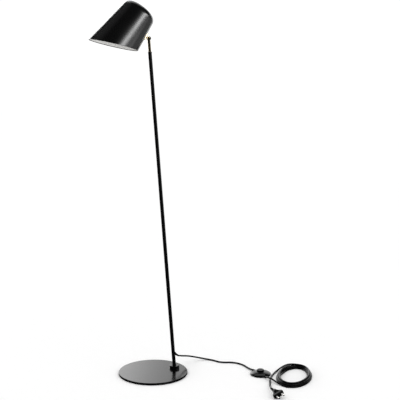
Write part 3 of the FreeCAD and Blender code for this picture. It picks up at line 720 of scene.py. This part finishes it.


# return spring: round wire with closed ends, under the button
bm = bmesh.new()
last = None
TURNS, WIRE, COIL_R, Z0, Z1 = 6.4, 0.5, 4.6, 7.58, 17.12
for j in range(int(TURNS * 36) + 1):
    u = j / (TURNS * 36)
    t = u * TURNS
    rise = 1.02 * min(t, 0.9) + 1.02 * max(0.0, t - (TURNS - 0.9))
    free = (Z1 - Z0 - 2 * 1.02 * 0.9) * max(0.0, min(1.0, (t - 0.9) / (TURNS - 1.8)))
    a = 2 * math.pi * t
    ring = []
    for k in range(12):
        b = 2 * math.pi * k / 12
        r = COIL_R + WIRE * math.cos(b)
        ring.append(bm.verts.new(SWITCH @ mm((r * math.cos(a), r * math.sin(a), Z0 + rise + free + WIRE * math.sin(b)))))
    if last:
        for k in range(12):
            bm.faces.new((last[k], last[(k + 1) % 12], ring[(k + 1) % 12], ring[k]))
    else:
        bm.faces.new(ring)
    last = ring
bm.faces.new(last)
spring = soften(add_object("return_spring", finish_mesh("return_spring", bm), "stand", ["switch_spring"], ("zinc",)))
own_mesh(spring)


def port_frame(a):
    return axis_frame((351.0 + 30.0 * math.cos(a), -171.5 + 30.0 * math.sin(a), 5.6), (math.cos(a), math.sin(a), 0))


bm = bmesh.new()
for a in (PORT_IN, PORT_OUT):
    lathe_into(bm, [(0.0, 1.0), (4.2, 1.0), (4.2, 7.6), (4.45, 8.2), (4.5, 8.9), (4.2, 9.4)]
               + ribbed(4.15, 3.45, 9.6, 14.3, 3, 0.45, 3.0) + [(0.0, 14.8)], port_frame(a), 56)
grips = soften(add_object("switch_grips", finish_mesh("switch_grips", bm), "stand", ["switch_cord_grips"],
                          ("rubber",)))

# --------------------------------------------------------------------- plug
# half outline from the front face to the cable end: x towards the pins, y across them
half = [(0.0, 0.0), (0.0, 13.6)]
half += [(-5.4 + 5.4 * math.cos(rad(t)), 13.6 + 5.4 * math.sin(rad(t))) for t in (15, 30, 45, 60, 75, 90)]
half += [(-8.0, 19.0), (-10.5, 18.4), (-13.0, 16.9), (-16.0, 14.6), (-19.0, 12.4), (-22.0, 10.6), (-25.0, 9.2), (-29.0, 8.0),
         (-33.5, 7.1), (-38.0, 6.6)]
outline = half + [(x, -y) for x, y in reversed(half[1:])]
bm = bmesh.new()
layers = [(-7.5, 3.0), (-7.25, 1.9), (-6.6, 1.0), (-5.6, 0.35), (-4.3, 0.0), (0.0, 0.0), (4.3, 0.0), (5.6, 0.35), (6.6, 1.0),
          (7.25, 1.9), (7.5, 3.0)]


def inset_outline(d):
    """The outline moved inwards by d; at the narrow cable end it moves straight across."""
    out = []
    n = len(outline)
    for i, (x, y) in enumerate(outline):
        p, q = Vector(outline[i - 1]), Vector(outline[(i + 1) % n])
        t = (q - p).normalized()
        nrm = Vector((-t.y, t.x))
        if nrm.dot(Vector((x + 14.0, y))) > 0:
            nrm = -nrm
        e = d
        if x < -36.0:
            nrm = Vector((0.0, -1.0 if y > 0 else 1.0))
        out.append((x + nrm.x * e, y + nrm.y * e))
    return out


rings = []
for z, d in layers:
    rings.append([bm.verts.new(PLUG @ mm((x, y, z))) for x, y in inset_outline(d)])
n = len(outline)
for A, B in zip(rings, rings[1:]):
    for i in range(n):
        j = (i + 1) % n
        bm.faces.new((A[i], A[j], B[j], B[i]))
bm.faces.new(rings[0])
bm.faces.new(rings[-1])


def bar(cx, cy, cz, lx, ly, lz, r=0.5, turn=0.0):
    """A small rounded bar in the plug's frame."""
    made = bmesh.ops.create_cube(bm, size=1.0)
    vs = made["verts"]
    m = PLUG @ Matrix.Translation(mm((cx, cy, cz))) @ Matrix.Rotation(turn, 4, "Z")
    for v in vs:
        v.co = m @ mm((v.co.x * lx, v.co.y * ly, v.co.z * lz))
    es = {e for v in vs for e in v.link_edges}
    bmesh.ops.bevel(bm, geom=list(es), offset=r * MM, segments=3, profile=0.6, affect="EDGES")


for side in (-1, 1):
    for k in range(5):
        x = -13.5 - 3.6 * k
        bar(x, 0.0, side * 7.45, 1.6, (18.0, 15.6, 13.2, 11.2, 9.6)[k], 0.9, 0.4)
# raised pad that carries the pins
bar(0.55, 0.0, 0.0, 3.3, 25.0, 10.0, 1.0)
plug_body = soften(add_object("plug_shell", finish_mesh("plug_shell", bm), "stand", ["plug_body"], ("plug",)))

bm = bmesh.new()
for y in (-9.5, 9.5):
    f = PLUG @ Matrix.Translation(mm((0, y, 0))) @ Matrix.Rotation(rad(90), 4, "Y")
    lathe_into(bm, rounded([(0, 2.0), (2.45, 2.0), (2.45, 11.4, 0.15), (2.3, 11.7), (0, 11.7)]), f, 40, index=1)
    lathe_into(bm, rounded([(0, 11.0), (2.35, 11.0), (2.35, 19.2, 0.8), (1.4, 21.2, 0.8), (0, 21.2)], 6), f, 40, index=0)
pins = soften(add_object("plug_prongs", finish_mesh("plug_prongs", bm), "stand", ["plug_pins"], ("nickel", "sleeve")))

plug_relief = lathe("plug_boot",
                    [(0.0, -2.0), (6.1, -2.0), (6.3, -0.4), (6.1, 1.2), (5.6, 1.8)] + ribbed(5.6, 3.55, 2.0, 25.4, 7, 0.8, 3.0)
                    + [(0.0, 25.9)],
                    PLUG @ Matrix.Translation(mm((-38.0, 0, 0))) @ Matrix.Rotation(rad(-90), 4, "Y"),
                    "stand", ["plug_relief"], ("rubber",), seg=56)


# ------------------------------------------------- CAD nodes that stay shown
FINE = {"stem": 0.25, "knuckle_upper": 0.3, "pivot_screw": 0.25, "pivot_nut": 0.3, "stem_lock_nut": 0.15,
        "nipple_nut": 0.3, "bracket_screws": 0.2, "holder_bracket": 0.25, "shade_bracket": 0.0}
for row in frame["record"]["subparts"]:
    ob = bpy.data.objects.get(row["node"])
    if ob is None or ob.hide_render:
        continue
    ob.data.materials.clear()
    ob.data.materials.append(MAT[BY_SLOT[row["material_slot"]]])
    if row["node"] in FINE:
        w = ob.modifiers.new("weld", "WELD")
        w.merge_threshold = 2e-6
        if FINE[row["node"]]:
            b = ob.modifiers.new("edge", "BEVEL")
            b.width = FINE[row["node"]] * MM
            b.segments = 3
            b.limit_method = "ANGLE"
            b.angle_limit = rad(35)
        s = ob.modifiers.new("normals", "WEIGHTED_NORMAL")
        s.keep_sharp = False
        s.weight = 60

# -------------------------------------------------------------------- stage
bm = bmesh.new()
ring = [bm.verts.new((14.0 * math.cos(2 * math.pi * i / 64), 14.0 * math.sin(2 * math.pi * i / 64), 0.0)) for i in range(64)]
bm.faces.new(ring)
me = bpy.data.meshes.new("floor")
bm.to_mesh(me)
bm.free()
floor = bpy.data.objects.new("floor", me)
bpy.context.scene.collection.objects.link(floor)
fm = Nodes("floor_paint", (0.96, 0.96, 0.96), 0.9, spec=0.0)
fm.color(fm.ramp(fm.noise(0.8, 2.0, 0.5), [(0.3, (0.957, 0.957, 0.957)), (0.7, (0.963, 0.963, 0.963))]))
floor.data.materials.append(fm.m)
floor.visible_glossy = False

# Studio light: an even white surround for the floor and the background, a darker one in reflections,
# two pale cards behind the lamp, a strip light on the right and a soft light from above.
world = bpy.data.worlds.new("studio")
bpy.context.scene.world = world
world.use_nodes = True
wt = world.node_tree
wt.nodes.clear()
w_out = wt.nodes.new("ShaderNodeOutputWorld")
w_mix = wt.nodes.new("ShaderNodeMixShader")
w_even = wt.nodes.new("ShaderNodeBackground")
w_dark = wt.nodes.new("ShaderNodeBackground")
w_path = wt.nodes.new("ShaderNodeLightPath")
w_even.inputs[0].default_value = (1.0, 1.0, 1.0, 1.0)
w_even.inputs[1].default_value = 1.05
w_dark.inputs[0].default_value = (0.9, 0.95, 1.0, 1.0)
w_dark.inputs[1].default_value = 0.02
wt.links.new(w_path.outputs["Is Glossy Ray"], w_mix.inputs[0])
wt.links.new(w_even.outputs[0], w_mix.inputs[1])
wt.links.new(w_dark.outputs[0], w_mix.inputs[2])
wt.links.new(w_mix.outputs[0], w_out.inputs[0])

FWD = Vector((0.4073, 0.9133, 0.0))       # away from the camera, on the floor
RIGHT = Vector((0.9133, -0.4073, 0.0))


def card(name, pos, target, size, size_y, radiance, color=(1, 1, 1)):
    d = bpy.data.lights.new(name, "AREA")
    d.shape = "RECTANGLE"
    d.size, d.size_y = size, size_y
    d.energy = radiance * math.pi * size * size_y
    d.color = color
    ob = bpy.data.objects.new(name, d)
    ob.location = pos
    ob.rotation_mode = "QUATERNION"
    ob.rotation_quaternion = (Vector(target) - Vector(pos)).to_track_quat("-Z", "Y")
    ob.visible_camera = False
    ob.visible_diffuse = False
    bpy.context.scene.collection.objects.link(ob)
    return ob


mid = Vector((0.05, 0.0, 0.6))
WALL = mid + FWD * 3.4 + Vector((0, 0, 0.75))
AIM = mid + Vector((0, 0, 0.2))
# the wall of light fades from left to right in overlapping cards
for k, (right, glow) in enumerate(((3.4, 1.58), (-0.12, 0.20), (-0.20, 0.28), (-0.28, 0.40), (-0.36, 0.42),
                                   (-0.44, 0.42), (-0.55, 0.42))):
    card("card_wall_%d" % k, WALL + RIGHT * ((right - 3.4) / 2) + FWD * (0.01 * k), AIM + RIGHT * ((right - 3.4) / 2),
         right + 3.4, 2.6, glow)
HEAD = Vector((-0.085, -0.068, 1.232))
card("soft_box", HEAD + (RIGHT * 0.845 - FWD * 0.510) * 1.75 + Vector((0, 0, 0.31)), HEAD, 1.90, 0.34, 11.0)
card("side_right", Vector((0, 0, 0.64)) + RIGHT * 1.82 - FWD * 0.52, (0, 0, 0.64), 1.05, 0.62, 1.25)
card("low_right", Vector((0, 0, 0.62)) + RIGHT * 2.2 + FWD * 0.35, (0, 0, 0.75), 2.6, 1.15, 0.42)
card("over_back", mid + FWD * 1.7 + Vector((0, 0, 2.5)), mid + Vector((0, 0, -0.4)), 2.6, 1.5, 1.2)
card("high_left", HEAD - RIGHT * 1.5 + FWD * 0.4 + Vector((0, 0, 2.0)), HEAD, 1.7, 1.7, 0.09)

bpy.context.scene.view_settings.view_transform = "Standard"
bpy.context.scene.view_settings.look = "None"
